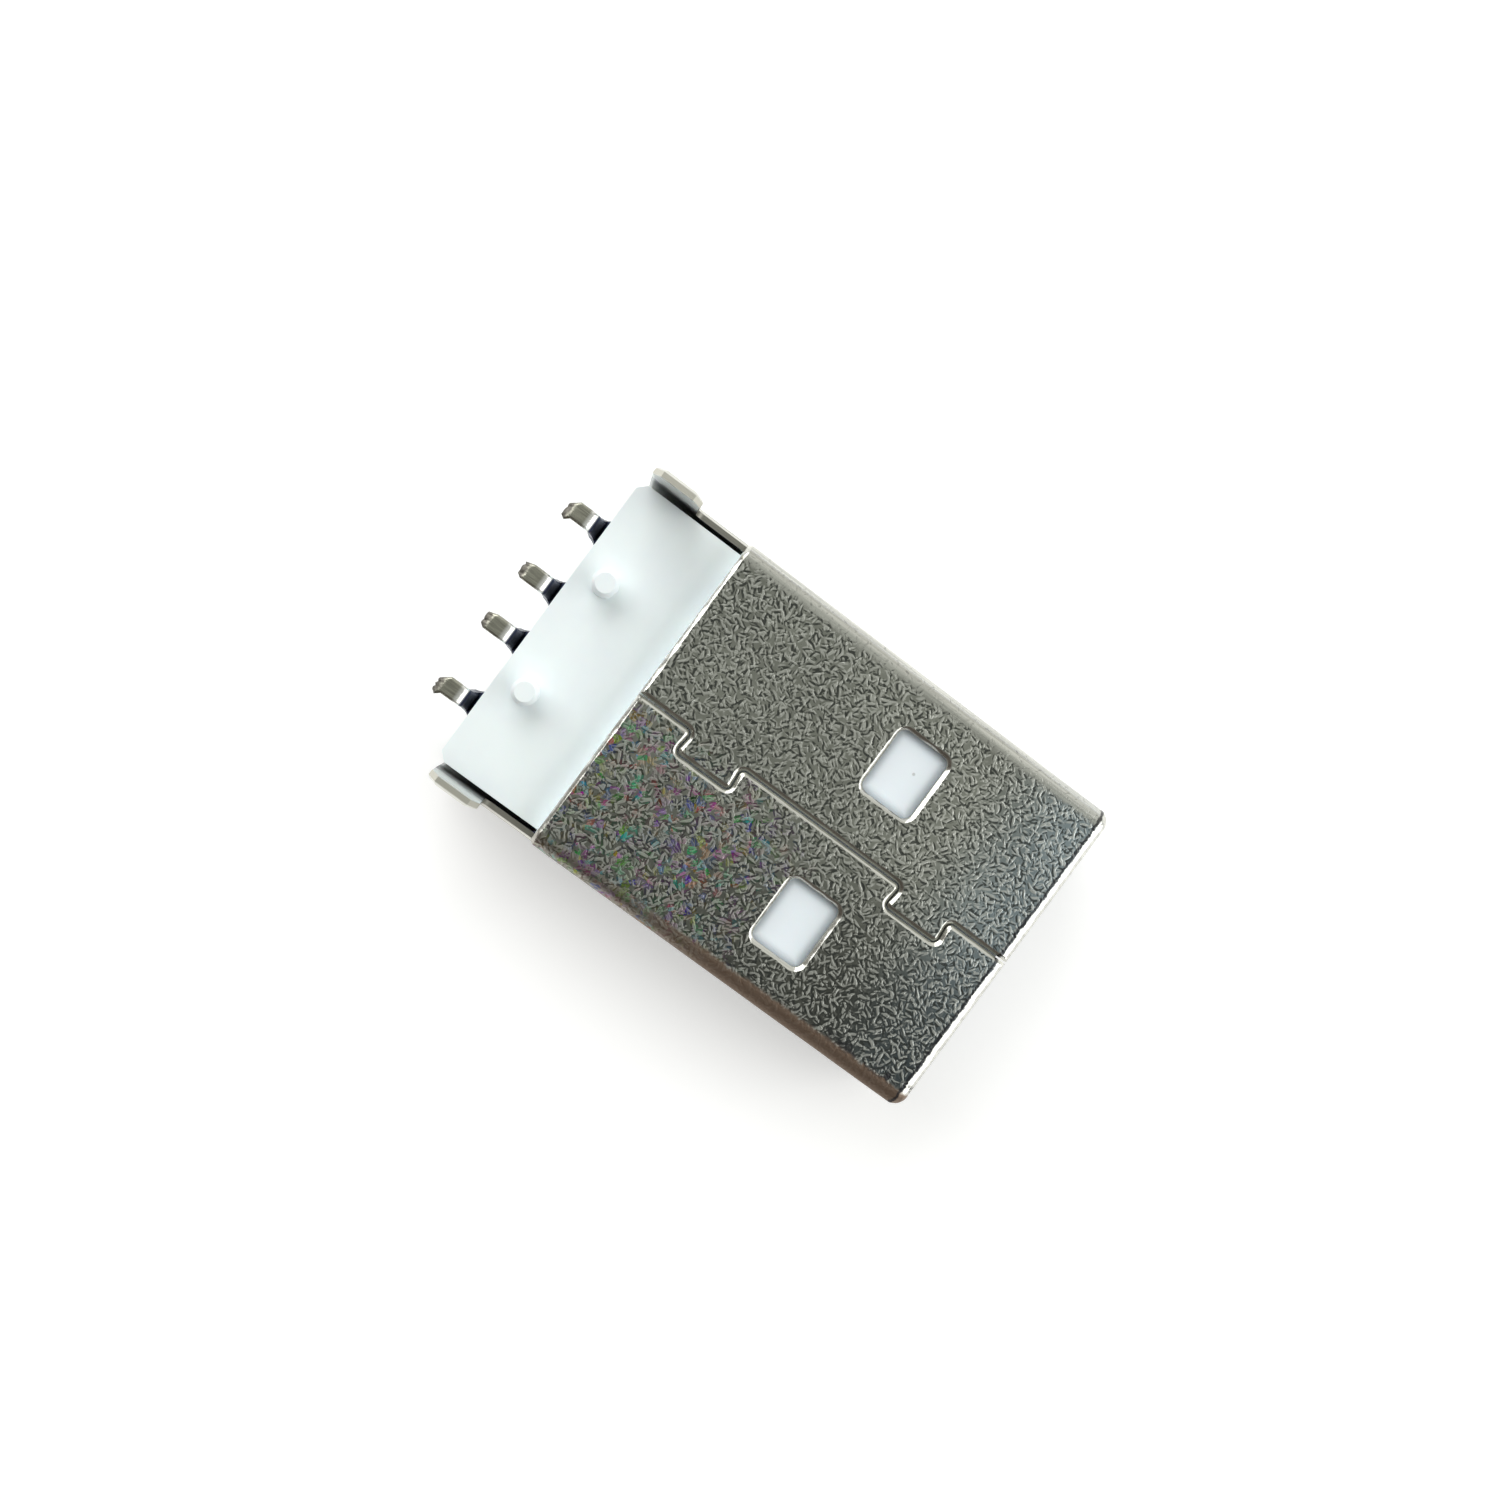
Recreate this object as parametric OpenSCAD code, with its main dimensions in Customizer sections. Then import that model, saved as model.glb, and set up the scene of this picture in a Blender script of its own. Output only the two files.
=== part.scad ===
// Board-mount USB-A plug: one folded sheet shell, one white moulding and four contacts.
// +Z is the board side, where the shell closes with a keyed seam. The mouth faces -Y.
// The origin is under the middle of the plug, on the plain flat wall that it lies on.

/* [Shell] */
// Width of the shell over its outer faces
shell_w = 12.0; // [11.6:0.05:12.6]
// Height of the shell over its outer faces
shell_h = 4.5; // [4.3:0.05:4.9]
// Length of the closed tube, from the mouth to its rear edge
shell_l = 15.0; // [14:0.1:18]
// Thickness of the plated sheet
sheet_t = 0.3; // [0.25:0.01:0.35]
// Outside radius of the four long bends
bend_r = 0.55; // [0.5:0.01:0.7]
// Width of the band that the punch rolls over along a cut edge
roll_w = 0.13; // [0.08:0.01:0.15]
// Length of the rounded lead-in at the mouth
nose_l = 0.38; // [0.25:0.01:0.5]
// How far the lead-in comes in at the mouth
nose_t = 0.14; // [0.08:0.01:0.16]

/* [Seam] */
// Gap between the two flaps along the seam
seam_gap = 0.06; // [0.04:0.01:0.1]
// How far a key reaches into the opposite flap
key_reach = 0.86; // [0.7:0.02:1.1]
// Length of a key at its tip, along the seam
key_l = 2.15; // [1.6:0.05:2.6]
// Distance from the mouth to the front key
front_key_y = 2.32; // [1.5:0.02:2.8]
// Distance from the tube's rear edge to the rear key
rear_key_y = 2.03; // [1.2:0.02:3]
// Undercut of a key's ends, in degrees
key_undercut = 6; // [2:1:10]
// Corner radius of the seam's turns
key_corner_r = 0.2; // [0.19:0.01:0.24]

/* [Windows] */
// Width of a window across the plug
window_w = 2.46; // [2.2:0.02:2.7]
// Length of a window along the plug
window_l = 1.98; // [1.7:0.02:2.3]
// Corner radius of a window
window_r = 0.3; // [0.2:0.02:0.5]
// Distance between the centres of two windows side by side
window_pitch = 6.0; // [5.2:0.1:6.6]
// Distance from the mouth to a window
window_y = 5.5; // [5.1:0.05:5.9]

/* [Rear walls and legs] */
// Depth of the board's plane below the seam face
board_drop = 0.95; // [0.6:0.05:1.3]
// Depth of the side walls' upper edge below the board's plane
rail_drop = 0.1; // [0.05:0.01:0.3]
// Distance from the tube's rear edge to a leg
leg_y = 1.95; // [1.4:0.05:2.1]
// Width of a leg, along the plug
leg_w = 1.82; // [1.4:0.02:2]
// Length of a leg beyond the board's plane
leg_l = 2.85; // [2:0.05:3.6]
// Length of the tapered tip of a leg
leg_tip_l = 0.6; // [0.3:0.05:0.9]
// How far each corner of a leg's tip is cut back
leg_tip_cut = 0.3; // [0.15:0.01:0.5]
// Fillet at the foot of a leg
leg_root_r = 0.25; // [0.15:0.05:0.4]

/* [Housing] */
// Clearance between the moulding and the inside of the shell
fit_gap = 0.04; // [0.02:0.01:0.06]
// Free height between the tongue and the plain wall, for the socket's own tongue
mouth_gap = 1.95; // [1.85:0.05:2.2]
// Depth of the mouth's cavity, down to the moulding's body
cavity_l = 9.0; // [8.7:0.1:10]
// Setback of the tongue from the mouth
tongue_setback = 0.38; // [0.2:0.02:0.6]
// Chamfer around the tongue's front end
tongue_chamfer = 0.35; // [0.2:0.05:0.5]
// Chamfer along the moulding's long edges, inside the bends
edge_chamfer = 0.26; // [0.24:0.01:0.34]
// Length of the block behind the tube
block_l = 4.0; // [3.9:0.05:5]
// Clearance between the block and the side walls beside it
block_gap = 0.15; // [0.08:0.01:0.25]
// Chamfer on the block's rear corners
block_chamfer = 0.28; // [0.1:0.02:0.4]

/* [Pegs] */
// Diameter of a locating peg
peg_d = 0.9; // [0.7:0.05:1.2]
// Length of a peg beyond the board's plane
peg_l = 1.0; // [0.6:0.05:1.4]
// Distance between the two pegs
peg_pitch = 4.3; // [3.6:0.1:5]
// Distance from the block's rear face to the pegs
peg_y = 1.05; // [0.8:0.05:1.6]
// Chamfer at the tip of a peg
peg_chamfer = 0.12; // [0.06:0.01:0.2]

/* [Contacts] */
// Thickness of a contact
contact_t = 0.25; // [0.2:0.01:0.3]
// Width of a contact on the tongue
contact_w = 1.0; // [0.8:0.05:1.1]
// Distance between the two data contacts
data_pitch = 2.0; // [1.8:0.05:2.2]
// Distance between the two power contacts
power_pitch = 7.0; // [6.6:0.05:7.2]
// Length of a power contact in front of the moulding's body
power_l = 7.41; // [7:0.05:7.8]
// Length of a data contact in front of the moulding's body
data_l = 6.41; // [6:0.05:6.8]
// Clearance round a contact in the moulding
slot_gap = 0.02; // [0.01:0.01:0.04]
// Width of a contact's root, where it is held in the block
root_w = 1.2; // [1.15:0.05:1.4]
// Length of the root inside the block
root_l = 2.5; // [1.5:0.1:3]

/* [Solder tails] */
// Width of a tail
tail_w = 0.64; // [0.5:0.02:0.8]
// Length of a tail behind the block
tail_l = 1.45; // [1.3:0.05:1.8]
// Inside radius of a tail's two bends
tail_bend_r = 0.12; // [0.08:0.01:0.18]
// Steepness of a tail's rise to the board, in degrees
tail_rise = 75; // [70:1:85]
// Height of a tail's solder face over the board's plane
tail_stand = 0.05; // [0:0.01:0.1]
// Reach of the concave flare from the root into the tail
flare_l = 0.28; // [0.2:0.02:0.36]
// Length of the part of a tail's tip that was shorn from its carrier
tip_l = 0.34; // [0.2:0.02:0.4]
// Corner cut at the tip of a tail
tip_cut = 0.1; // [0.05:0.01:0.16]
// Sideways lean of the two outer tails' shorn tips
tip_lean = 0.14; // [0:0.02:0.2]

/* [Hidden] */
$fn = 48;
cut = 0.5;             // how far a cutter stands out of what it cuts
arc_steps = 6;         // flats along a small corner
roll_steps = 4;        // flats across a rolled-over edge
off_tangent = 1.06;    // a rolled edge meets its face at a slight angle, as a sheared one does

plug_l = shell_l + block_l + tail_l;
bend_inner_r = bend_r - sheet_t;
apron_l = leg_y + leg_w;
board_z = shell_h - board_drop;
rail_z = board_z - rail_drop;
leg_top_z = board_z + leg_l;

housing_w = shell_w - 2 * (sheet_t + fit_gap);
housing_z0 = sheet_t + fit_gap;
housing_z1 = shell_h - sheet_t - fit_gap;
tongue_z = sheet_t + mouth_gap;
block_w = shell_w - 2 * (sheet_t + block_gap);
block_end_y = shell_l + block_l;
root_y = block_end_y - root_l;
tail_end_y = block_end_y + tail_l;

// ---- Points and shapes shared by the parts ----

// Points of an arc about c from angle a0 to a1.
function arc(c, r, a0, a1) =
    [for (i = [0:arc_steps]) let (a = a0 + (a1 - a0) * i / arc_steps) c + r * [cos(a), sin(a)]];

// Outline of a rectangle with round corners, centred on the origin.
function round_rect(w, l, r) = concat(
    arc([w / 2 - r, l / 2 - r], r, 0, 90),
    arc([r - w / 2, l / 2 - r], r, 90, 180),
    arc([r - w / 2, r - l / 2], r, 180, 270),
    arc([w / 2 - r, r - l / 2], r, 270, 360)
);

function unit(v) = v / norm(v);
function left_of(v) = [-v[1], v[0]];

// One corner b of a path a-b-c, rounded to radius r.
function turn(a, b, c, r) =
    let (
        d0 = unit(b - a),
        d1 = unit(c - b),
        angle = acos(d0 * d1),
        side = sign(left_of(d0) * d1),
        start = b - r * tan(angle / 2) * d0,
        centre = start + r * side * left_of(d0),
        a0 = atan2(d0[1], d0[0]) - 90 * side
    )
    arc(centre, r, a0, a0 + side * angle);

// A path through corners, with each inner corner rounded to radius r.
function round_path(corners, r) = concat(
    [corners[0]],
    [
        for (i = [1:len(corners) - 2])
            each turn(corners[i - 1], corners[i], corners[i + 1], r)
    ],
    [corners[len(corners) - 1]]
);

// Direction of a path at point i.
function heading(path, i) =
    let (before = max(i - 1, 0), after = min(i + 1, len(path) - 1))
    unit(
        (i > before ? unit(path[i] - path[before]) : [0, 0])
        + (after > i ? unit(path[after] - path[i]) : [0, 0])
    );

// A rolled-over edge as [widening, depth] pairs, from the cut's wall up to the outer face.
function roll_steps_list() =
    [
        for (i = [0:roll_steps])
            let (a = 90 * i / roll_steps)
            [roll_w * (1 - cos(a)), roll_w * (1 - sin(a))]
    ];

// Solid between stacked loops that all have the same number of points.
module loft(loops) {
    n = len(loops[0]);
    last = len(loops) - 1;
    sides = [
        for (k = [0:last - 1], i = [0:n - 1])
            let (j = (i + 1) % n)
            [k * n + i, (k + 1) * n + i, (k + 1) * n + j, k * n + j]
    ];
    polyhedron(
        points = [for (loop = loops) each loop],
        faces = concat(
            [[for (i = [0:n - 1]) i]],
            sides,
            [[for (i = [n - 1:-1:0]) last * n + i]]
        ),
        convexity = 6
    );
}

// Cuts one outside corner at the origin back to an arc. Its band is l long and t deep.
module corner_round(l, t) {
    chord = norm([l, t]);
    r = off_tangent * chord * chord / (2 * t);
    centre = [l, t] / 2 + [t, l] / chord * sqrt(r * r - chord * chord / 4);
    difference() {
        translate([-cut, -cut]) square([l + cut, t + cut]);
        translate(centre) circle(r);
    }
}

// ---- Shell ----

// Lengthwise section of a wall: the outer face is at y = 0 and the mouth at x = 0.
module wall_section(l, rear_rolled) {
    difference() {
        square([l, sheet_t]);
        corner_round(nose_l, nose_t);
        if (rear_rolled) translate([l, 0]) mirror([1, 0]) corner_round(roll_w, roll_w);
    }
}

// Flat wall across the plug, with its outer face down.
module flat_wall(l, rear_rolled) {
    w = shell_w - 2 * bend_r;
    translate([-w / 2, 0, 0]) rotate([90, 0, 90]) linear_extrude(w) wall_section(l, rear_rolled);
}

// Long bend at the lower edge on the +X side.
module long_bend(l, rear_rolled) {
    translate([shell_w / 2 - bend_r, 0, bend_r])
        rotate([-90, 0, 0])
            rotate_extrude(angle = 90)
                translate([bend_r, 0]) rotate(90) wall_section(l, rear_rolled);
}

// Side wall's outline behind the tube: a low rail and the leg that goes through the board.
function rail_outline() = concat(
    [[0, bend_r], [shell_l + apron_l, bend_r]],
    [[shell_l + apron_l, leg_top_z - leg_tip_l]],
    [[shell_l + apron_l - leg_tip_cut, leg_top_z]],
    [[shell_l + leg_y + leg_tip_cut, leg_top_z]],
    [[shell_l + leg_y, leg_top_z - leg_tip_l]],
    arc([shell_l + leg_y - leg_root_r, rail_z + leg_root_r], leg_root_r, 0, -90),
    [[shell_l, rail_z], [shell_l, shell_h - bend_r], [0, shell_h - bend_r]]
);

// Side wall on the +X side.
module side_wall() {
    difference() {
        translate([shell_w / 2 - sheet_t, 0, 0])
            rotate([90, 0, 90]) linear_extrude(sheet_t) polygon(rail_outline());
        translate([shell_w / 2, 0, 0]) rotate(90) linear_extrude(shell_h) corner_round(nose_l, nose_t);
    }
}

module folded_sheet() {
    flat_wall(shell_l + apron_l, false);
    translate([0, 0, shell_h]) mirror([0, 0, 1]) flat_wall(shell_l, true);
    for (side = [0, 1]) mirror([side, 0, 0]) {
        side_wall();
        long_bend(shell_l + apron_l, false);
        translate([0, 0, shell_h]) mirror([0, 0, 1]) long_bend(shell_l, true);
    }
}

// Window cutter, with its rim rolled over. The outer face is at z = 0.
module window_cut() {
    levels = concat(
        [[0, sheet_t + cut]],
        roll_steps_list(),
        [[roll_w, -cut]]
    );
    loft([
        for (level = levels) [
            for (p = round_rect(window_w + 2 * level[0], window_l + 2 * level[0], window_r + level[0]))
                [p[0], p[1], -level[1]]
        ]
    ]);
}

module window_pair() {
    for (side = [-1, 1])
        translate([side * window_pitch / 2, window_y + window_l / 2, 0]) window_cut();
}

// Corners of one key, which narrows from its tip to its root.
function key_corners(y) =
    let (inset = key_reach * tan(key_undercut))
    [[0, y + inset], [-key_reach, y], [-key_reach, y + key_l], [0, y + key_l - inset]];

function seam_path() = round_path(
    concat(
        [[0, -cut]],
        key_corners(front_key_y),
        key_corners(shell_l - rear_key_y - key_l),
        [[0, shell_l + cut]]
    ),
    key_corner_r
);

// Slit between the two flaps, with both edges rolled over. The outer face is at z = 0.
module seam_cut() {
    half = concat(
        [[seam_gap / 2, sheet_t + cut]],
        [for (s = roll_steps_list()) [seam_gap / 2 + s[0], s[1]]],
        [[seam_gap / 2 + roll_w, -cut]]
    );
    section = concat(half, [for (i = [len(half) - 1:-1:0]) [-half[i][0], half[i][1]]]);
    path = seam_path();
    loft([
        for (i = [0:len(path) - 1])
            let (side = left_of(heading(path, i)))
            [for (s = section) [path[i][0] - s[0] * side[0], path[i][1] - s[0] * side[1], -s[1]]]
    ]);
}

module shell() {
    color([0.56, 0.56, 0.52])
        translate([0, -plug_l / 2, 0])
            difference() {
                folded_sheet();
                mirror([0, 0, 1]) window_pair();
                translate([0, 0, shell_h]) window_pair();
                translate([0, 0, shell_h]) seam_cut();
            }
}

// ---- Contacts ----

// Side view of a contact as [y, z] points: flat on the tongue, then up to the board's plane.
function contact_side(l) =
    let (
        outer_r = tail_bend_r + contact_t,
        z0 = tongue_z,
        z1 = tongue_z + contact_t,
        foot_z1 = board_z + tail_stand,
        foot_z0 = foot_z1 - contact_t,
        low = [block_end_y, z1 + tail_bend_r],
        climb = (foot_z0 - tail_bend_r - low[1] + (tail_bend_r + outer_r) * cos(tail_rise)) / sin(tail_rise),
        high = low
            + (tail_bend_r + outer_r) * [sin(tail_rise), -cos(tail_rise)]
            + climb * [cos(tail_rise), sin(tail_rise)]
    )
    concat(
        [[cavity_l - l, z0]],
        arc(low, outer_r, -90, tail_rise - 90),
        arc(high, tail_bend_r, 90 + tail_rise, 90),
        [[tail_end_y, foot_z0], [tail_end_y, foot_z1]],
        arc(high, outer_r, 90, 90 + tail_rise),
        arc(low, tail_bend_r, tail_rise - 90, -90),
        [[cavity_l - l + contact_t, z1], [cavity_l - l, z0 + contact_t / 3]]
    );

// Half of a contact's plan as [x, y] points, on the +X side, from the front to the tail's tip.
function contact_half(l) = concat(
    [[contact_w / 2 - contact_t, cavity_l - l], [contact_w / 2, cavity_l - l + contact_t]],
    [[contact_w / 2, root_y], [root_w / 2, root_y + (root_w - contact_w) / 2]],
    [[root_w / 2, block_end_y]],
    flare_points()
);

// Concave flare from the root's width down to the tail's.
function flare_points() =
    let (reach = (root_w - tail_w) / 2)
    [
        for (i = [0:arc_steps])
            let (a = 90 * i / arc_steps)
            [tail_w / 2 + reach * (1 - sin(a)), block_end_y + flare_l * (1 - cos(a))]
    ];

// Shorn tip of a tail, which leans towards -X.
function tip_points(lean) = [
    [tail_w / 2, tail_end_y - tip_l],
    [tail_w / 2 - lean - tip_cut, tail_end_y],
    [tip_cut - tail_w / 2 - lean, tail_end_y],
    [-tail_w / 2 - lean, tail_end_y - tip_l / 2],
    [-tail_w / 2, tail_end_y - tip_l]
];

function contact_plan(l, lean) =
    let (half = contact_half(l))
    concat(half, tip_points(lean), [for (i = [len(half) - 1:-1:0]) [-half[i][0], half[i][1]]]);

module contact(x, l, lean) {
    color([0.68, 0.67, 0.6])
        translate([x, -plug_l / 2, 0])
            intersection() {
                translate([-root_w, 0, 0])
                    rotate([90, 0, 90]) linear_extrude(2 * root_w) polygon(contact_side(l));
                linear_extrude(shell_h) polygon(contact_plan(l, lean));
            }
}

module power_contact() {
    contact(-power_pitch / 2, power_l, tip_lean);
}

module data_minus_contact() {
    contact(-data_pitch / 2, data_l, 0);
}

module data_plus_contact() {
    contact(data_pitch / 2, data_l, 0);
}

module ground_contact() {
    contact(power_pitch / 2, power_l, tip_lean);
}

// ---- Housing ----

// Cross-section of the moulding between two heights, with its long edges chamfered.
module chamfered(w, z0, z1, low, high) {
    polygon([
        [-w / 2, z0 + low], [low - w / 2, z0], [w / 2 - low, z0], [w / 2, z0 + low],
        [w / 2, z1 - high], [w / 2 - high, z1], [high - w / 2, z1], [-w / 2, z1 - high]
    ]);
}

// Extrudes a cross-section along +Y from y0 to y1.
module along(y0, y1) {
    translate([0, y1, 0]) rotate([90, 0, 0]) linear_extrude(y1 - y0) children();
}

// Wedge that chamfers the tongue's front end on its contact side.
module tongue_lead() {
    translate([-shell_w / 2, tongue_setback, tongue_z])
        rotate([90, 0, 90])
            linear_extrude(shell_w)
                polygon([[-cut, -cut], [tongue_chamfer + cut, -cut], [-cut, tongue_chamfer + cut]]);
}

module tongue() {
    difference() {
        along(tongue_setback, cavity_l + cut)
            chamfered(housing_w, tongue_z, housing_z1, 0.1 * mouth_gap, edge_chamfer);
        tongue_lead();
        for (side = [0, 1]) mirror([side, 0, 0])
            translate([housing_w / 2, tongue_setback, 0])
                linear_extrude(shell_h)
                    polygon([[cut, -cut], [cut, tongue_chamfer + cut], [-tongue_chamfer - cut, -cut]]);
    }
}

// Block behind the tube, with its rear corners cut back.
module block() {
    y0 = shell_l - cut;
    translate([0, 0, housing_z0])
        linear_extrude(board_z - housing_z0)
            polygon([
                [-block_w / 2, y0], [block_w / 2, y0],
                [block_w / 2, block_end_y - block_chamfer],
                [block_w / 2 - block_chamfer, block_end_y],
                [block_chamfer - block_w / 2, block_end_y],
                [-block_w / 2, block_end_y - block_chamfer]
            ]);
}

module peg() {
    rotate_extrude()
        polygon([
            [0, -cut], [peg_d / 2, -cut], [peg_d / 2, peg_l - peg_chamfer],
            [peg_d / 2 - peg_chamfer, peg_l], [0, peg_l]
        ]);
}

// Groove and slot for a contact of length l in front of the body.
module contact_slot(x, l) {
    z0 = tongue_z - slot_gap;
    h = contact_t + 2 * slot_gap;
    w = contact_w + 2 * slot_gap;
    rw = root_w + 2 * slot_gap;
    translate([x - w / 2, cavity_l - l - slot_gap, z0]) cube([w, l + root_y - cavity_l + cut, h]);
    translate([x - rw / 2, root_y - slot_gap, z0]) cube([rw, root_l + slot_gap + cut, h]);
}

module housing() {
    color([0.93, 0.97, 0.97])
        translate([0, -plug_l / 2, 0])
            difference() {
                union() {
                    tongue();
                    along(cavity_l, shell_l)
                        chamfered(housing_w, housing_z0, housing_z1, edge_chamfer, edge_chamfer);
                    block();
                    for (side = [-1, 1])
                        translate([side * peg_pitch / 2, block_end_y - peg_y, board_z]) peg();
                }
                for (side = [-1, 1]) {
                    contact_slot(side * power_pitch / 2, power_l);
                    contact_slot(side * data_pitch / 2, data_l);
                }
            }
}

shell();
housing();
power_contact();
data_minus_contact();
data_plus_contact();
ground_contact();
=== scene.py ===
"""Looks of a board-mount plug: a folded plated shell, a white moulding and four contacts."""

import logging
import math
from dataclasses import dataclass, field
from enum import Enum
from typing import Callable, Optional

import bmesh
import bpy
import numpy as np
from mathutils import Matrix, Vector, geometry, noise


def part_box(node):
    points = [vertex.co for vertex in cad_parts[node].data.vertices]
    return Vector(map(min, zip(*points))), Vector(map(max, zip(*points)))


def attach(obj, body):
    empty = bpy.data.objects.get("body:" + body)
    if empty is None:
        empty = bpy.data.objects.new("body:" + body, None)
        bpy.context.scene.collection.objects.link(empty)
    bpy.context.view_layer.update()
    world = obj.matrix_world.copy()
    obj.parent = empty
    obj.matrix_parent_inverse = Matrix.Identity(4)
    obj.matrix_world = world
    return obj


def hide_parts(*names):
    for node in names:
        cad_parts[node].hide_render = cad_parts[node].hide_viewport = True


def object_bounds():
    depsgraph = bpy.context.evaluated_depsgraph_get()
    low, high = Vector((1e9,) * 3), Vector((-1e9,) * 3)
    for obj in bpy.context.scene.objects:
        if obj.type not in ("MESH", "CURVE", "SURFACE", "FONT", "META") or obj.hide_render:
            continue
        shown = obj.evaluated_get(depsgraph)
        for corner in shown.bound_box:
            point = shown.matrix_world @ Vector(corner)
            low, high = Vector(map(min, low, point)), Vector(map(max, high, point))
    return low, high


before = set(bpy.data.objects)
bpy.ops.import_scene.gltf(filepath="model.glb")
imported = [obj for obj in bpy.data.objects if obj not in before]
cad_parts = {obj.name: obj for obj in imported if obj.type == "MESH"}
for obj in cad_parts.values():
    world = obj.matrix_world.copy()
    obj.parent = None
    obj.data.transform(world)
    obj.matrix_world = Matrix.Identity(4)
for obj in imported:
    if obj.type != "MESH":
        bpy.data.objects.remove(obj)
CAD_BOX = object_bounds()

LOG = logging.getLogger("plug")

MM = 0.001
RELIEF = 0.01
SLACK = 1e-6
FLOOR_GAP = 0.01

Point = tuple[float, float]
Fold = Callable[[float, float], tuple[Vector, Vector]]
Color = tuple[float, float, float]
Object = bpy.types.Object
Material = bpy.types.Material
Node = bpy.types.Node
Socket = bpy.types.NodeSocket
Parts = bpy.types.NodeOutputs


# --- Sizes, in millimetres ---


def box_mm(node: str) -> tuple[Vector, Vector]:
    """Lowest and highest corner of a CAD node, in millimetres."""
    low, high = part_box(node)
    return low / MM, high / MM


class Layer(Enum):
    """Which face of a sheet a vertex lies on."""

    OUTER = 0
    INNER = 1


# --- Sheet parts: a flat blank, cut out and then folded ---


def unit(v: Point) -> Point:
    """A plane vector at length 1."""
    size = math.hypot(*v) or 1.0
    return v[0] / size, v[1] / size


def arc(centre: Point, radius: float, start: float, end: float, steps: int) -> list[Point]:
    """Points of an arc.

    Args:
        centre: Centre of the arc.
        radius: Radius of the arc.
        start: First angle, in degrees.
        end: Last angle, in degrees.
        steps: Number of chords.

    Returns:
        The points from the first angle to the last.
    """
    angles = [math.radians(start + (end - start) * i / steps) for i in range(steps + 1)]
    return [(centre[0] + radius * math.cos(a), centre[1] + radius * math.sin(a)) for a in angles]


def round_corner(a: Point, b: Point, c: Point, radius: float, steps: int) -> list[Point]:
    """The corner b of a path a-b-c, rounded to a radius.

    Args:
        a: Point before the corner.
        b: The corner.
        c: Point after the corner.
        radius: Radius of the round.
        steps: Number of chords.

    Returns:
        The points of the round, in the path's order.
    """
    d0 = unit((b[0] - a[0], b[1] - a[1]))
    d1 = unit((c[0] - b[0], c[1] - b[1]))
    turn = math.atan2(d0[0] * d1[1] - d0[1] * d1[0], d0[0] * d1[0] + d0[1] * d1[1])
    side = math.copysign(1.0, turn)
    reach = radius * math.tan(abs(turn) / 2)
    start = (b[0] - reach * d0[0], b[1] - reach * d0[1])
    centre = (start[0] - radius * side * d0[1], start[1] + radius * side * d0[0])
    first = math.degrees(math.atan2(d0[1], d0[0])) - 90 * side
    return arc(centre, radius, first, first + math.degrees(turn), steps)


def resample(loop: list[Point], step: float) -> list[Point]:
    """Splits a closed loop's edges so that none is longer than step."""
    out: list[Point] = []
    for i, a in enumerate(loop):
        b = loop[(i + 1) % len(loop)]
        count = max(1, math.ceil(math.dist(a, b) / step - SLACK))
        out += [(a[0] + (b[0] - a[0]) * k / count, a[1] + (b[1] - a[1]) * k / count) for k in range(count)]
    return out


def inward(loop: list[Point]) -> list[Point]:
    """Mitred offset directions into the material, which lies on the left of the loop."""
    out: list[Point] = []
    for i, p in enumerate(loop):
        before = loop[i - 1]
        after = loop[(i + 1) % len(loop)]
        d0 = unit((p[0] - before[0], p[1] - before[1]))
        d1 = unit((after[0] - p[0], after[1] - p[1]))
        n0 = (-d0[1], d0[0])
        n1 = (-d1[1], d1[0])
        mid = unit((n0[0] + n1[0], n0[1] + n1[1]))
        stretch = min(1.5, 1.0 / max(0.3, mid[0] * n0[0] + mid[1] * n0[1]))
        out.append((mid[0] * stretch, mid[1] * stretch))
    return out


def inside(points: np.ndarray, loops: list[np.ndarray]) -> np.ndarray:
    """Even-odd test of points against closed loops.

    Args:
        points: Array of plane points.
        loops: Closed loops, holes among them.

    Returns:
        A mask that is true for the points in the material.
    """
    mask = np.zeros(len(points), bool)
    x, y = points[:, 0], points[:, 1]
    for loop in loops:
        for a, b in zip(loop, np.roll(loop, -1, axis=0)):
            if a[1] == b[1]:
                continue
            crosses = (a[1] > y) != (b[1] > y)
            at = a[0] + (y - a[1]) * (b[0] - a[0]) / (b[1] - a[1])
            mask ^= crosses & (x < at)
    return mask


@dataclass(frozen=True)
class RolledEdge:
    """The band that a punch rolls over along a cut edge, in millimetres."""

    width: float
    depth: float
    unevenness: float = 0.0
    steps: tuple[float, ...] = (0.0, 0.14, 0.3, 0.48, 0.68, 0.86, 1.0, 1.12)
    curve: float = 1.35

    def sink(self, share: float) -> float:
        """Depth below the face at a share of the band's width."""
        return self.depth * max(0.0, 1.0 - share) ** self.curve


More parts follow.
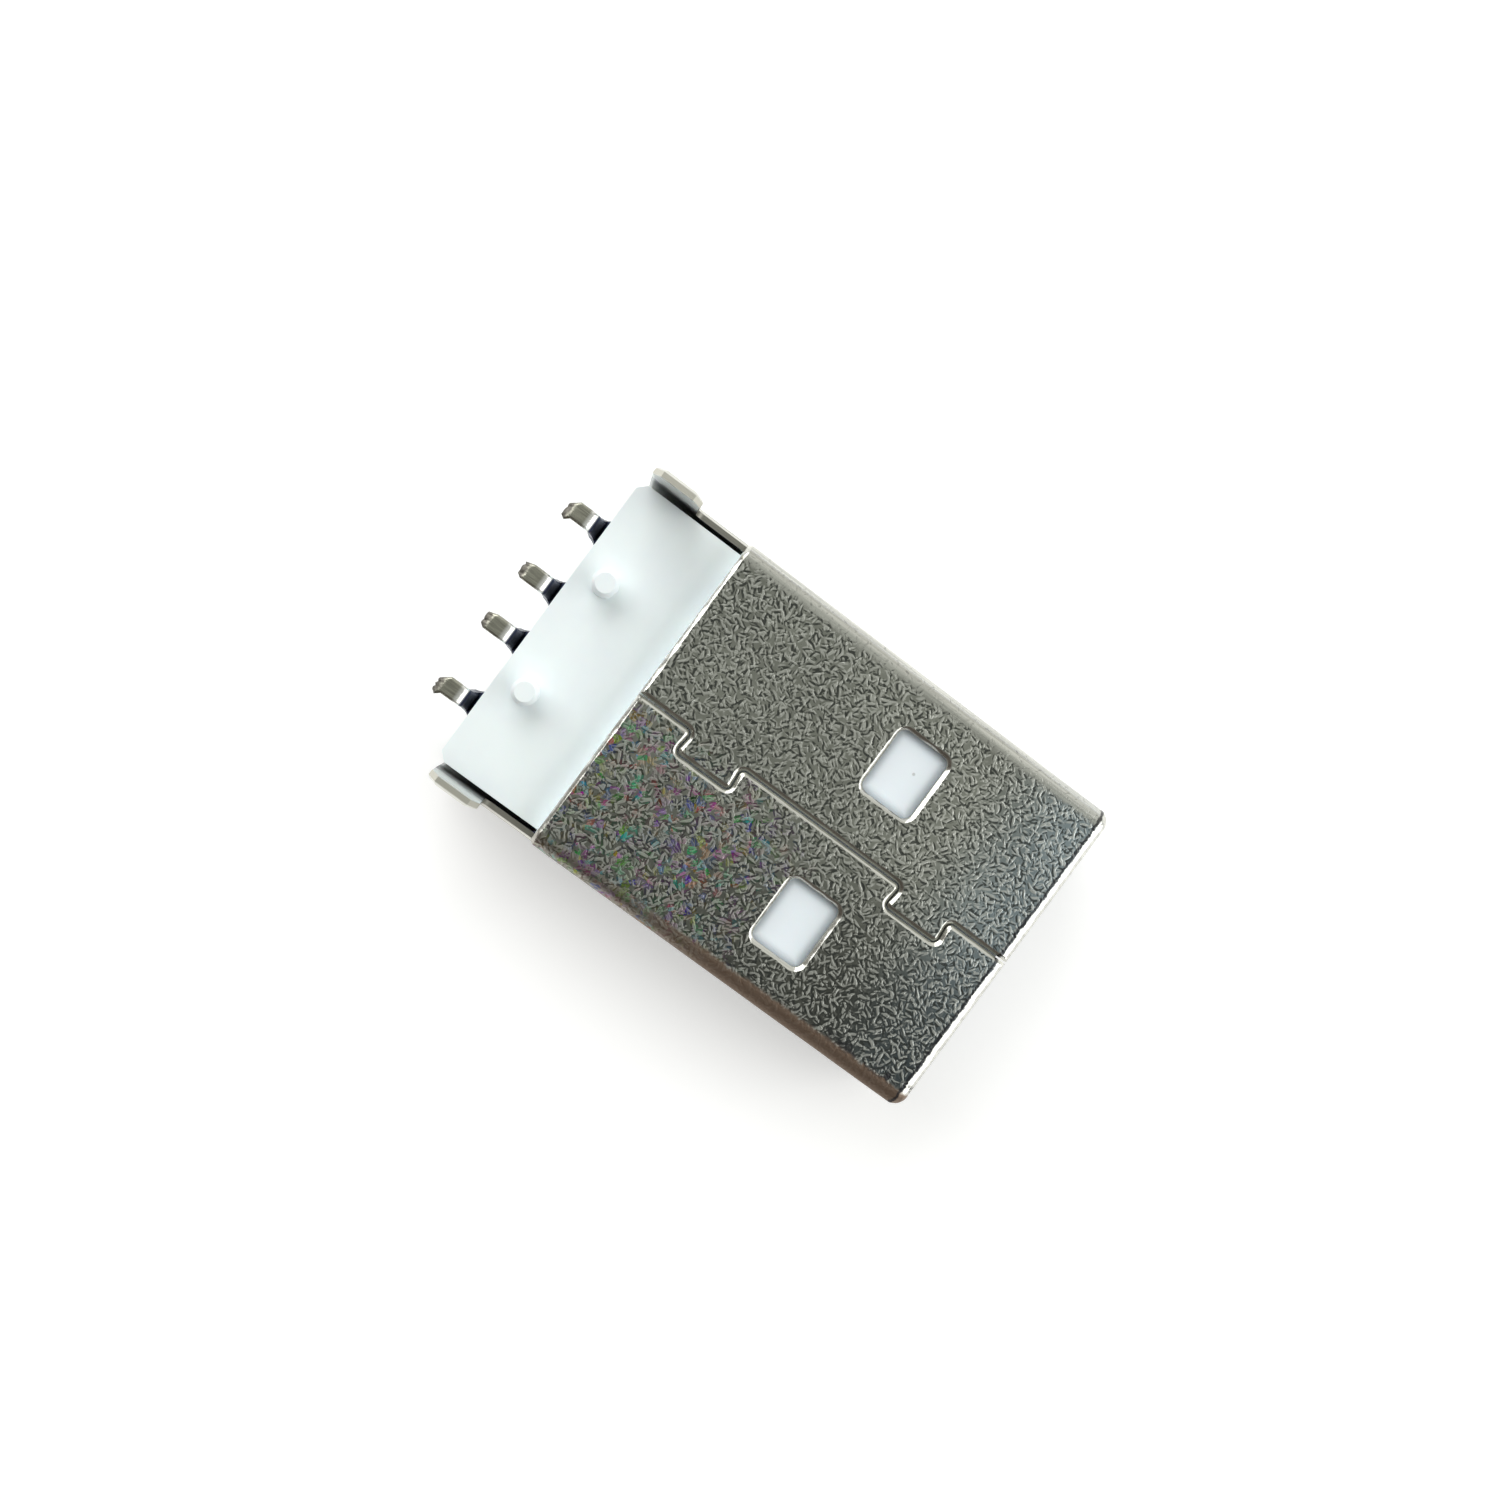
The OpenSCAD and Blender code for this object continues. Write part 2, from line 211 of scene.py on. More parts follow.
@dataclass
class Blank:
    """A cut-out sheet and the way it folds.

    The outline and the holes are closed loops in the flat sheet, in millimetres, with the material
    on their left. fold takes a place in the flat sheet to a point of the outer face and the outward
    normal there.
    """

    outline: list[Point]
    holes: list[list[Point]]
    thickness: float
    edge: RolledEdge
    fold: Fold
    columns: list[float]
    rows: list[float]
    step: float
    waviness: float = 0.0
    sag: Optional[Callable[[float, float], float]] = None

    def build(self, name: str) -> Object:
        """Makes the folded solid.

        Args:
            name: Name of the new object.

        Returns:
            The object, in metres. Its attributes are roll, which is 1 at a cut edge of the outer face,
            flat_x, the place across the flat sheet, and cut, which is 1 on the cut faces.
        """
        loops = [resample(loop, self.step) for loop in [self.outline, *self.holes]]
        flat, shares, rings = self._rings(loops)
        edges = [pair for ring in rings for pair in self._closed(ring)]
        lattice = self._lattice(loops)
        points = [Vector(p) for p in flat + lattice]
        shares = shares + [self.edge.steps[-1]] * len(lattice)
        made = geometry.delaunay_2d_cdt(points, edges, [], 0, 1e-7)
        verts, faces, sources = made[0], made[2], made[3]
        centres = np.array([sum((verts[i] for i in f), Vector((0, 0))) / len(f) for f in faces])
        kept = inside(centres, [np.array(loop) for loop in loops])
        faces = [f for f, keep in zip(faces, kept) if keep]
        share_of = [min((shares[s] for s in src), default=self.edge.steps[-1]) for src in sources]
        place = {s: i for i, src in enumerate(sources) for s in src}
        borders = [[place[i] for i in rings[k]] for k in range(len(loops))]
        return self._solid(name, verts, faces, share_of, borders)

    @staticmethod
    def _closed(ring: list[int]) -> list[tuple[int, int]]:
        """Edges of a closed ring of vertex numbers."""
        return [(a, ring[(i + 1) % len(ring)]) for i, a in enumerate(ring)]

    def _rings(self, loops: list[list[Point]]) -> tuple[list[Point], list[float], list[list[int]]]:
        """Copies each loop inwards once for each step of the rolled edge."""
        flat: list[Point] = []
        shares: list[float] = []
        rings: list[list[int]] = []
        for share in self.edge.steps:
            for loop in loops:
                rings.append(list(range(len(flat), len(flat) + len(loop))))
                for p, n in zip(loop, inward(loop)):
                    wobble = noise.noise(Vector((p[0] * 2.3, p[1] * 2.3, 7.0)))
                    reach = self.edge.width * share * (1 + self.edge.unevenness * wobble)
                    flat.append((p[0] + n[0] * reach, p[1] + n[1] * reach))
                    shares.append(share)
        return flat, shares, rings

    def _lattice(self, loops: list[list[Point]]) -> list[Point]:
        """Points of the open face, clear of the rolled edges."""
        grid = np.array([(c, r) for c in self.columns for r in self.rows])
        grid = grid[inside(grid, [np.array(loop) for loop in loops])]
        border = np.array([p for loop in loops for p in loop])
        clear = self.edge.width * self.edge.steps[-1] + self.step * 0.45
        kept = [p for p in grid if np.min(np.hypot(*(border - p).T)) > clear]
        return [(float(p[0]), float(p[1])) for p in kept]

    def _depth(self, p: Vector, share: float, layer: Layer) -> float:
        """Depth of a vertex below the sheet's outer face."""
        wave = 0.5 + 0.5 * noise.noise(Vector((p[0] * 0.45, p[1] * 0.45, 3.0)))
        depth = self.waviness * wave
        if layer is Layer.INNER:
            burr = 0.06 * self.thickness if share == 0.0 else 0.0
            return depth + self.thickness - burr
        sag = self.sag(p[0], p[1]) if self.sag else 0.0
        return min(depth + self.edge.sink(share) + sag, 0.88 * self.thickness)

    def _solid(
        self,
        name: str,
        verts: list[Vector],
        faces: list[list[int]],
        share_of: list[float],
        borders: list[list[int]],
    ) -> Object:
        """Folds both faces of the sheet and joins them along the cut edges."""
        mesh = bmesh.new()
        roll = mesh.verts.layers.float.new("roll")
        flat_x = mesh.verts.layers.float.new("flat_x")
        cut = mesh.faces.layers.float.new("cut")
        layers: list[list[bmesh.types.BMVert]] = []
        used = {i for f in faces for i in f}
        for layer in Layer:
            made = []
            for i, p in enumerate(verts):
                if i not in used:
                    made.append(None)
                    continue
                point, normal = self.fold(p[0], p[1])
                vert = mesh.verts.new((point - normal * self._depth(p, share_of[i], layer)) * MM)
                vert[roll] = max(0.0, 1.0 - share_of[i]) if layer is Layer.OUTER else 0.0
                vert[flat_x] = p[0]
                made.append(vert)
            layers.append(made)
        outer, inner = layers
        for f in faces:
            mesh.faces.new([outer[i] for i in f])
            mesh.faces.new([inner[i] for i in reversed(f)])
        for border in borders:
            for a, b in self._closed(border):
                if a != b:
                    mesh.faces.new([outer[a], inner[a], inner[b], outer[b]])[cut] = 1.0
        bmesh.ops.recalc_face_normals(mesh, faces=mesh.faces)
        return to_object(mesh, name, sharp=38.0)


def into_scene(name: str, data: bpy.types.ID) -> Object:
    """A new object with some data, linked into the scene."""
    obj = bpy.data.objects.new(name, data)
    bpy.context.scene.collection.objects.link(obj)
    return obj


def to_object(mesh: bmesh.types.BMesh, name: str, sharp: float) -> Object:
    """Turns a bmesh into a smooth-shaded object in the scene.

    Args:
        mesh: The bmesh, in metres. It is freed.
        name: Name of the object.
        sharp: Angle in degrees above which an edge stays sharp.

    Returns:
        The new object.
    """
    data = bpy.data.meshes.new(name)
    mesh.to_mesh(data)
    mesh.free()
    data.polygons.foreach_set("use_smooth", [True] * len(data.polygons))
    data.set_sharp_from_angle(angle=math.radians(sharp))
    return into_scene(name, data)


def spaced(start: float, end: float, step: float) -> list[float]:
    """Evenly spaced values from start to end, no further apart than step."""
    count = max(1, math.ceil((end - start) / step - SLACK))
    return [start + (end - start) * i / count for i in range(count + 1)]


def spread(marks: list[float], steps: list[float]) -> list[float]:
    """Spaced values through all the marks, each stretch with its own step."""
    stretches = [spaced(a, b, step)[1:] for a, b, step in zip(marks, marks[1:], steps)]
    return [marks[0], *(value for stretch in stretches for value in stretch)]


# --- Shader graphs ---


class Graph:
    """Short ways to add nodes to a node tree and to link them."""

    def __init__(self, tree: bpy.types.NodeTree) -> None:
        """Keeps the tree and empties it."""
        self.tree = tree
        tree.nodes.clear()

    def add(self, kind: str, **settings: object) -> Node:
        """Adds a node of a kind, with its settings."""
        node = self.tree.nodes.new(kind)
        for key, value in settings.items():
            setattr(node, key, value)
        return node

    def feed(self, socket: Socket, value: object) -> None:
        """Links a socket into another, or sets a plain value."""
        if isinstance(value, Socket):
            self.tree.links.new(value, socket)
        elif value is not None:
            socket.default_value = value

    def math(self, operation: str, *values: object, clamp: bool = False) -> Socket:
        """A Math node's result."""
        node = self.add("ShaderNodeMath", operation=operation, use_clamp=clamp)
        for socket, value in zip(node.inputs, values):
            self.feed(socket, value)
        return node.outputs[0]

    def plus(self, a: object, b: object) -> Socket:
        """The sum of two values."""
        return self.math("ADD", a, b)

    def times(self, first: object, *others: object) -> Socket:
        """The product of two or more values."""
        for other in others:
            first = self.math("MULTIPLY", first, other)
        return first

    def larger(self, first: object, *others: object) -> Socket:
        """The largest of some values."""
        for other in others:
            first = self.math("MAXIMUM", first, other)
        return first

    def gap(self, a: object, b: object) -> Socket:
        """The distance between two values."""
        return self.math("ABSOLUTE", self.math("SUBTRACT", a, b))

    def split(self, vector: Socket) -> Parts:
        """A vector's parts, by the names X, Y and Z."""
        node = self.add("ShaderNodeSeparateXYZ")
        self.feed(node.inputs[0], vector)
        return node.outputs

    def vector(self, operation: str, *values: object) -> Socket:
        """A Vector Math node's result: a value for products and lengths, else a vector."""
        node = self.add("ShaderNodeVectorMath", operation=operation)
        slots = [s for s in node.inputs if s.name != "Scale"]
        if operation == "SCALE":
            slots = [node.inputs[0], node.inputs["Scale"]]
        for socket, value in zip(slots, values):
            self.feed(socket, value)
        return node.outputs["Value" if operation in ("DOT_PRODUCT", "LENGTH") else "Vector"]

    def ramp(self, value: object, low: float, high: float, to_low: float = 0.0, to_high: float = 1.0) -> Socket:
        """A smooth step of value between low and high."""
        node = self.add("ShaderNodeMapRange", interpolation_type="SMOOTHSTEP")
        places = {"From Min": low, "From Max": high, "To Min": to_low, "To Max": to_high}
        for key, item in {"Value": value, **places}.items():
            self.feed(node.inputs[key], item)
        return node.outputs["Result"]

    def band(self, value: object, up: Point, down: Point) -> Socket:
        """A smooth mask that rises between the first two values and falls between the others."""
        return self.times(self.ramp(value, *up), self.ramp(value, down[1], down[0]))

    def mix(self, share: object, a: object, b: object, blend: str = "MIX") -> Socket:
        """A colour mix."""
        node = self.add("ShaderNodeMix", data_type="RGBA", blend_type=blend)
        self.feed(node.inputs[0], share)
        self.feed(node.inputs[6], rgba(a))
        self.feed(node.inputs[7], rgba(b))
        return node.outputs[2]

    def tone(self, color: object, share: object) -> Socket:
        """A colour times a value."""
        return self.mix(1.0, color, self.vector("SCALE", (1.0, 1.0, 1.0), share), blend="MULTIPLY")

    def noise(self, vector: object, scale: object, detail: float = 2.0, roughness: float = 0.5) -> Socket:
        """A Noise Texture's value."""
        node = self.add("ShaderNodeTexNoise")
        for key, item in {"Vector": vector, "Scale": scale, "Detail": detail, "Roughness": roughness}.items():
            self.feed(node.inputs[key], item)
        return node.outputs[0]

    def bump(self, shader: Node, height: object, strength: float) -> None:
        """Gives a shader the normals of a fine relief."""
        node = self.add("ShaderNodeBump")
        node.inputs["Strength"].default_value = strength
        node.inputs["Distance"].default_value = RELIEF * MM
        self.feed(node.inputs["Height"], height)
        self.feed(shader.inputs["Normal"], node.outputs[0])

    def attribute(self, name: str) -> Socket:
        """A mesh attribute's value."""
        return self.add("ShaderNodeAttribute", attribute_name=name).outputs["Fac"]

    def group(self, tree: bpy.types.NodeTree, **inputs: object) -> Node:
        """A node group with its inputs filled in, with spaces in the names written as _."""
        node = self.add("ShaderNodeGroup", node_tree=tree)
        for key, value in inputs.items():
            self.feed(node.inputs[key.replace("_", " ")], value)
        return node


def rgba(value: object) -> object:
    """A colour of three numbers with alpha 1, or the value as it is."""
    return (*value, 1.0) if isinstance(value, tuple) and len(value) == 3 else value


class Effect:
    """A shader node group with named inputs and outputs, built once and shared by the materials."""

    def __init__(self, name: str, inputs: dict[str, tuple[str, object]], outputs: dict[str, str]) -> None:
        """Makes the group and its sockets.

        Args:
            name: Name of the group.
            inputs: Socket kind and default of each input.
            outputs: Socket kind of each output.
        """
        self.tree = bpy.data.node_groups.new(name, "ShaderNodeTree")
        for key, (kind, default) in inputs.items():
            socket = self.tree.interface.new_socket(name=key, in_out="INPUT", socket_type=f"NodeSocket{kind}")
            if default is not None:
                socket.default_value = default
        for key, kind in outputs.items():
            self.tree.interface.new_socket(name=key, in_out="OUTPUT", socket_type=f"NodeSocket{kind}")
        self.graph = Graph(self.tree)
        self.inputs = self.graph.add("NodeGroupInput").outputs
        self.outputs = self.graph.add("NodeGroupOutput").inputs

    def put(self, name: str, socket: Socket) -> None:
        """Links a result to one of the group's outputs."""
        self.tree.links.new(socket, self.outputs[name])


def crystal_needles() -> Effect:
    """Short bowed crystals that lie every way in the surface, one to a cell, each with a lit flank.

    Returns:
        The group: Lit and Shade are 1 along a crystal and along its dark flank, Hue is random for each one.
    """
    effect = Effect(
        "crystal needles",
        {
            "Place": ("Vector", None),
            "Facing": ("Vector", None),
            "Density": ("Float", 3.0),
            "Length": ("Float", 0.17),
            "Width": ("Float", 0.03),
            "Bow": ("Float", 1.5),
        },
        {"Lit": "Float", "Shade": "Float", "Hue": "Color"},
    )
    g, given = effect.graph, effect.inputs
    cells = g.add("ShaderNodeTexVoronoi", voronoi_dimensions="3D", feature="F1")
    g.feed(cells.inputs["Vector"], given["Place"])
    g.feed(cells.inputs["Scale"], given["Density"])
    local = g.vector("SUBTRACT", given["Place"], cells.outputs["Position"])
    spread = g.vector("SUBTRACT", cells.outputs["Color"], (0.5, 0.5, 0.5))
    lift = g.vector("DOT_PRODUCT", spread, given["Facing"])
    along = g.vector("NORMALIZE", g.vector("SUBTRACT", spread, g.vector("SCALE", given["Facing"], lift)))
    across = g.vector("CROSS_PRODUCT", given["Facing"], along)
    run = g.vector("DOT_PRODUCT", local, along)
    bow = g.times(run, run, given["Bow"])
    off = g.math("DIVIDE", g.plus(g.vector("DOT_PRODUCT", local, across), bow), given["Width"])
    run = g.math("DIVIDE", run, given["Length"])
    ends = g.times(run, run)
    effect.put("Lit", g.ramp(g.plus(ends, g.times(off, off)), 1.0, 0.2))
    flank = g.math("SUBTRACT", off, 1.45)
    effect.put("Shade", g.ramp(g.plus(ends, g.times(flank, flank)), 1.0, 0.2))
    effect.put("Hue", cells.outputs["Color"])
    return effect


def cloudiness() -> Effect:
    """Soft uneven clouds over a surface, as a value between Low and High."""
    effect = Effect(
        "cloudiness",
        {"Place": ("Vector", None), "Scale": ("Float", 1.0), "Low": ("Float", 0.0), "High": ("Float", 1.0)},
        {"Value": "Float"},
    )
    g, given = effect.graph, effect.inputs
    cloud = g.noise(given["Place"], given["Scale"], detail=3.0, roughness=0.55)
    effect.put("Value", g.ramp(cloud, 0.3, 0.7, given["Low"], given["High"]))
    return effect


def specks() -> Effect:
    """Sparse round specks, as a mask that is 1 on a speck."""
    effect = Effect(
        "specks",
        {"Place": ("Vector", None), "Density": ("Float", 1.0), "Size": ("Float", 0.05), "Rarity": ("Float", 0.9)},
        {"Mask": "Float"},
    )
    g, given = effect.graph, effect.inputs
    cells = g.add("ShaderNodeTexVoronoi", voronoi_dimensions="3D", feature="F1")
    g.feed(cells.inputs["Vector"], given["Place"])
    g.feed(cells.inputs["Scale"], given["Density"])
    away = g.vector("LENGTH", g.vector("SUBTRACT", given["Place"], cells.outputs["Position"]))
    split = g.add("ShaderNodeSeparateColor")
    g.feed(split.inputs[0], cells.outputs["Color"])
    dot = g.ramp(g.math("DIVIDE", away, given["Size"]), 1.0, 0.5)
    effect.put("Mask", g.times(dot, g.math("GREATER_THAN", split.outputs[0], given["Rarity"])))
    return effect


@dataclass
class Effects:
    """The shared node groups."""

    needles: Effect = field(default_factory=crystal_needles)
    clouds: Effect = field(default_factory=cloudiness)
    specks: Effect = field(default_factory=specks)


# --- Finishes ---


def new_material(name: str) -> tuple[Material, Graph, Node]:
    """A node material with one Principled shader.

    Args:
        name: Name of the material.

    Returns:
        The material, its graph and the Principled node.
    """
    material = bpy.data.materials.new(name)
    material.use_nodes = True
    graph = Graph(material.node_tree)
    shader = graph.add("ShaderNodeBsdfPrincipled")
    output = graph.add("ShaderNodeOutputMaterial")
    graph.tree.links.new(shader.outputs[0], output.inputs["Surface"])
    return material, graph, shader


def place_mm(g: Graph) -> Socket:
    """The surface's place in the row frame, in millimetres."""
    return g.vector("SCALE", g.add("ShaderNodeTexCoord").outputs["Object"], 1 / MM)


@dataclass(frozen=True)
class CrystalLayer:
    """One layer of crystals: cells to the millimetre, half length and half width in millimetres."""

    density: float
    length: float
    width: float
    bow: float
    weight: float


@dataclass(frozen=True)
class PlatedSheet:
    """Matt nickel plate: grey metal packed with tiny crystals, burnished at its bends and cut edges."""

    effects: Effects
    shell: "Shell"
    base: Color = (0.3, 0.31, 0.27)
    # painted shade and painted highlight of the crystals' flanks and cores
    dark: Color = (0.06, 0.065, 0.06)
    light: Color = (0.7, 0.71, 0.66)
    # painted reflection: the blue-grey of the plate near the mouth
    mouth_reflection: Color = (0.27, 0.325, 0.345)
    burnished: Color = (0.68, 0.68, 0.63)
    shorn: Color = (0.6, 0.59, 0.52)
    # tarnish and painted reflection of the dim side, over the -X upper bend
    brown: Color = (0.2, 0.14, 0.1)
    # soot, and painted shade at the nose crease and on the rear walls' inner faces
    soot_and_shade: Color = (0.04, 0.04, 0.045)
    layers: tuple[CrystalLayer, ...] = (
        CrystalLayer(2.3, 0.2, 0.06, 0.9, 1.0),
        CrystalLayer(2.5, 0.19, 0.055, -0.9, 0.9),
        CrystalLayer(2.8, 0.17, 0.05, 0.6, 1.0),
        CrystalLayer(3.2, 0.16, 0.036, -0.6, 0.9),
        CrystalLayer(3.6, 0.13, 0.032, 0.4, 0.8),
    )

    def make(self) -> Material:
        """Builds the material."""
        material, g, shader = new_material("plated sheet")
        place = place_mm(g)
        at = g.split(place)
        facing = g.add("ShaderNodeNewGeometry").outputs["True Normal"]
        relief, tint = self._crystals(g, place, facing)
        ragged = g.math("SUBTRACT", g.noise(place, 3.2, detail=4.0, roughness=0.65), 0.5)
        smooth = self._burnish(g, place, at, ragged)
        rainbow = self._rainbow(g, at)
        relief = g.times(relief, g.math("SUBTRACT", 1.0, g.times(smooth, 0.95)))
        color = g.mix(smooth, self._ground(g, place, at), self._drawn(g, place))
        lively = g.times(relief, g.ramp(rainbow, 0.0, 1.0, 1.1, 2.2))
        # painted shade and highlight: crystals darker along their shaded flank, lighter along their lit core
        color = g.mix(g.times(g.ramp(lively, 0.0, -1.1), 0.9), color, self.dark)
        color = g.mix(g.times(g.ramp(lively, 0.0, 1.2), 0.6), color, self.light)
        color = g.mix(self._stain(g, rainbow, relief, place), color, self._hue(g, tint))
        tarnish_and_reflection = self._tarnish_and_side_reflection(g, at, ragged)
        # brown on the -X upper bend: tarnish and painted reflection of the dim side
        color = g.mix(tarnish_and_reflection, color, self.brown)
        # soot blots, with painted shade at the nose crease and on the rear walls
        color = g.mix(self._soot_and_shade(g, at, ragged), color, self.soot_and_shade)
        cut = g.attribute("cut")
        # painted shade: the cut faces are darker lower down, where they lie in shadow
        low = g.ramp(at["Z"], self.shell.height - 0.8, self.shell.height, 0.45, 1.0)
        g.feed(shader.inputs["Base Color"], g.mix(cut, color, g.tone(self.shorn, low)))
        rough = g.ramp(smooth, 0.0, 1.0, 0.33, 0.14)
        rough = g.plus(rough, g.times(tarnish_and_reflection, 0.38))
        g.feed(shader.inputs["Roughness"], g.plus(rough, g.times(cut, 0.33)))
        shader.inputs["Metallic"].default_value = 1.0
        g.bump(shader, relief, 0.3)
        return material

    def _drawn(self, g: Graph, place: Socket) -> Socket:
        """The burnished metal's colour, with faint lines along the plug."""
        lines = g.noise(g.vector("MULTIPLY", place, (9.0, 0.25, 9.0)), 1.0, detail=2.0)
        return g.tone(self.burnished, g.ramp(lines, 0.3, 0.7, 0.78, 1.08))

    def _hue(self, g: Graph, tint: Socket) -> Socket:
        """One crystal's random colour, strong and rather dark."""
        hue = g.add("ShaderNodeHueSaturation")
        for key, item in {"Saturation": 0.95, "Value": 0.55, "Color": tint}.items():
            g.feed(hue.inputs[key], item)
        return hue.outputs[0]

    def _stain(self, g: Graph, rainbow: Socket, relief: Socket, place: Socket) -> Socket:
        """How far a crystal takes its random colour: those in some clouds do."""
        chosen = g.ramp(g.noise(place, 1.7, detail=1.0), 0.44, 0.6, 0.15, 1.0)
        depth = g.math("MULTIPLY", g.math("ABSOLUTE", relief), chosen, clamp=True)
        return g.times(rainbow, depth, 0.85)

    def _tarnish_and_side_reflection(self, g: Graph, at: Parts, ragged: Socket) -> Socket:
        """Mask of the brownish plate over the upper bend of the -X side, strongest near the mouth: a tarnish with a
        painted dark reflection of the dim side.
        """
        run = g.plus(g.attribute("flat_x"), g.times(ragged, 0.35))
        inner = g.ramp(run, -(self.shell.bends[1] + 0.55), -(self.shell.bends[1] + 0.4))
        outer = g.ramp(run, -(self.shell.bends[1] - 1.4), -(self.shell.bends[1] - 0.5))
        fade = g.ramp(at["Y"], self.shell.mouth_y + 13.5, self.shell.mouth_y + 7.0, 0.35, 0.92)
        return g.times(inner, outer, fade)

    def _crystals(self, g: Graph, place: Socket, facing: Socket) -> tuple[Socket, Socket]:
        """All layers of crystals, as a signed height and one layer's random colour."""
        total: object = 0.0
        tint = None
        for i, layer in enumerate(self.layers):
            node = g.group(
                self.effects.needles.tree,
                Place=g.vector("ADD", place, (3.7 * i, 1.9 * i, 5.3 * i)),
                Facing=facing,
                Density=layer.density,
                Length=layer.length,
                Width=layer.width,
                Bow=layer.bow,
            )
            flank = g.times(node.outputs["Shade"], 0.9)
            rise = g.math("SUBTRACT", node.outputs["Lit"], flank)
            total = g.plus(total, g.times(rise, layer.weight))
            tint = node.outputs["Hue"]
        return total, tint

    def _ground(self, g: Graph, place: Socket, at: Parts) -> Socket:
        """The plate's colour: olive grey, with a painted blue-grey reflection at the mouth and painted shade that
        darkens it towards one front corner.
        """
        cloud = g.group(self.effects.clouds.tree, Place=place, Scale=0.4, Low=0.86, High=1.1).outputs[0]
        # painted reflection: blue-grey near the mouth
        near = g.ramp(at["Y"], self.shell.mouth_y + 4.5, self.shell.mouth_y + 0.8)
        tone = g.mix(near, self.base, self.mouth_reflection)
        # painted shade: darker towards the -X front corner
        side = g.ramp(at["X"], 1.2, -4.2)
        front = g.ramp(at["Y"], self.shell.mouth_y + 15.0, self.shell.mouth_y + 3.0, 0.3, 0.68)
        shade = g.math("SUBTRACT", 1.0, g.times(side, front))
        return g.tone(tone, g.times(cloud, shade))

    def _burnish(self, g: Graph, place: Socket, at: Parts, ragged: Socket) -> Socket:
        """Mask of the metal that the tools have smoothed: cut edges, bends, nose and all behind the tube; the bends
        weigh more towards +X, a painted reflection of the pale side.
        """
        patchy = g.noise(place, 6.0, detail=2.0)
        edge = g.ramp(g.plus(g.attribute("roll"), g.times(patchy, 0.25)), 0.12, 0.3)
        run = g.math("ABSOLUTE", g.attribute("flat_x"))
        near = [g.gap(run, bend) for bend in self.shell.bends]
        bend = g.ramp(g.plus(g.math("MINIMUM", *near), g.times(patchy, 0.3)), 0.78, 0.5)
        # burnish and painted reflection: the +X side's bends come out paler than the -X side's
        bend = g.times(bend, g.ramp(g.attribute("flat_x"), -self.shell.bends[1] + 0.8, 0.0, 0.3, 0.85))
        edge = g.larger(edge, bend)
        nose = self.shell.mouth_y + self.shell.nose_l
        front = g.plus(at["Y"], g.times(ragged, 0.25))
        edge = g.larger(edge, g.ramp(front, nose + 0.02, nose - 0.03))
        rear = g.ramp(at["Y"], self.shell.tube_end_y + 0.15, self.shell.tube_end_y + 0.35)
        return g.larger(edge, rear)

    def _rainbow(self, g: Graph, at: Parts) -> Socket:
        """Mask of the faint rainbow on the rear of the seam face, on the -X side."""
        back = g.ramp(at["Y"], self.shell.mouth_y + 6.5, self.shell.mouth_y + 11.0)
        return g.times(back, g.ramp(at["X"], 0.4, -1.6))

    def _soot_and_shade(self, g: Graph, at: Parts, ragged: Socket) -> Socket:
        """Mask of dark marks: painted shade along a ragged line at the crease behind the nose, soot blots by the -X
        bend near the mouth, and the painted shade of the rear walls.
        """
        front = g.plus(at["Y"], g.times(ragged, 0.25))
        away = g.gap(front, self.shell.mouth_y + self.shell.nose_l + 0.06)
        # painted shade: a dark ragged line along the crease behind the nose
        line = g.times(g.ramp(away, 0.08, 0.03), 0.85)
        beside = g.math("ABSOLUTE", g.plus(g.attribute("flat_x"), self.shell.bends[1] + 0.6))
        beside = g.ramp(g.plus(beside, g.times(ragged, 0.9)), 0.34, 0.14)
        near = g.ramp(at["Y"], self.shell.mouth_y + 6.0, self.shell.mouth_y + 1.0, 0.25, 0.9)
        blots = g.times(beside, near, g.ramp(ragged, -0.02, 0.06))
        return g.larger(line, blots, self._gap_shade(g, at, ragged))

    def _gap_shade(self, g: Graph, at: Parts, ragged: Socket) -> Socket:
        """Mask of painted shade on the inner faces of the rear walls, beside the moulding: darker lower down, where
        they mirror the dark gap.
        """
        inner = g.math("LESS_THAN", g.math("ABSOLUTE", at["X"]), self.shell.inner_x + 0.05)
        behind = g.math("GREATER_THAN", at["Y"], self.shell.tube_end_y + 0.1)
        above = g.math("GREATER_THAN", at["Z"], self.shell.height / 2)
        height = g.plus(at["Z"], g.times(ragged, 1.6))
        # painted shade: darker lower down on the walls' inner faces
        low = g.ramp(height, self.shell.height + 0.55, self.shell.height + 0.25)
        place = g.times(inner, behind, above)
        return g.times(place, low, 0.93)


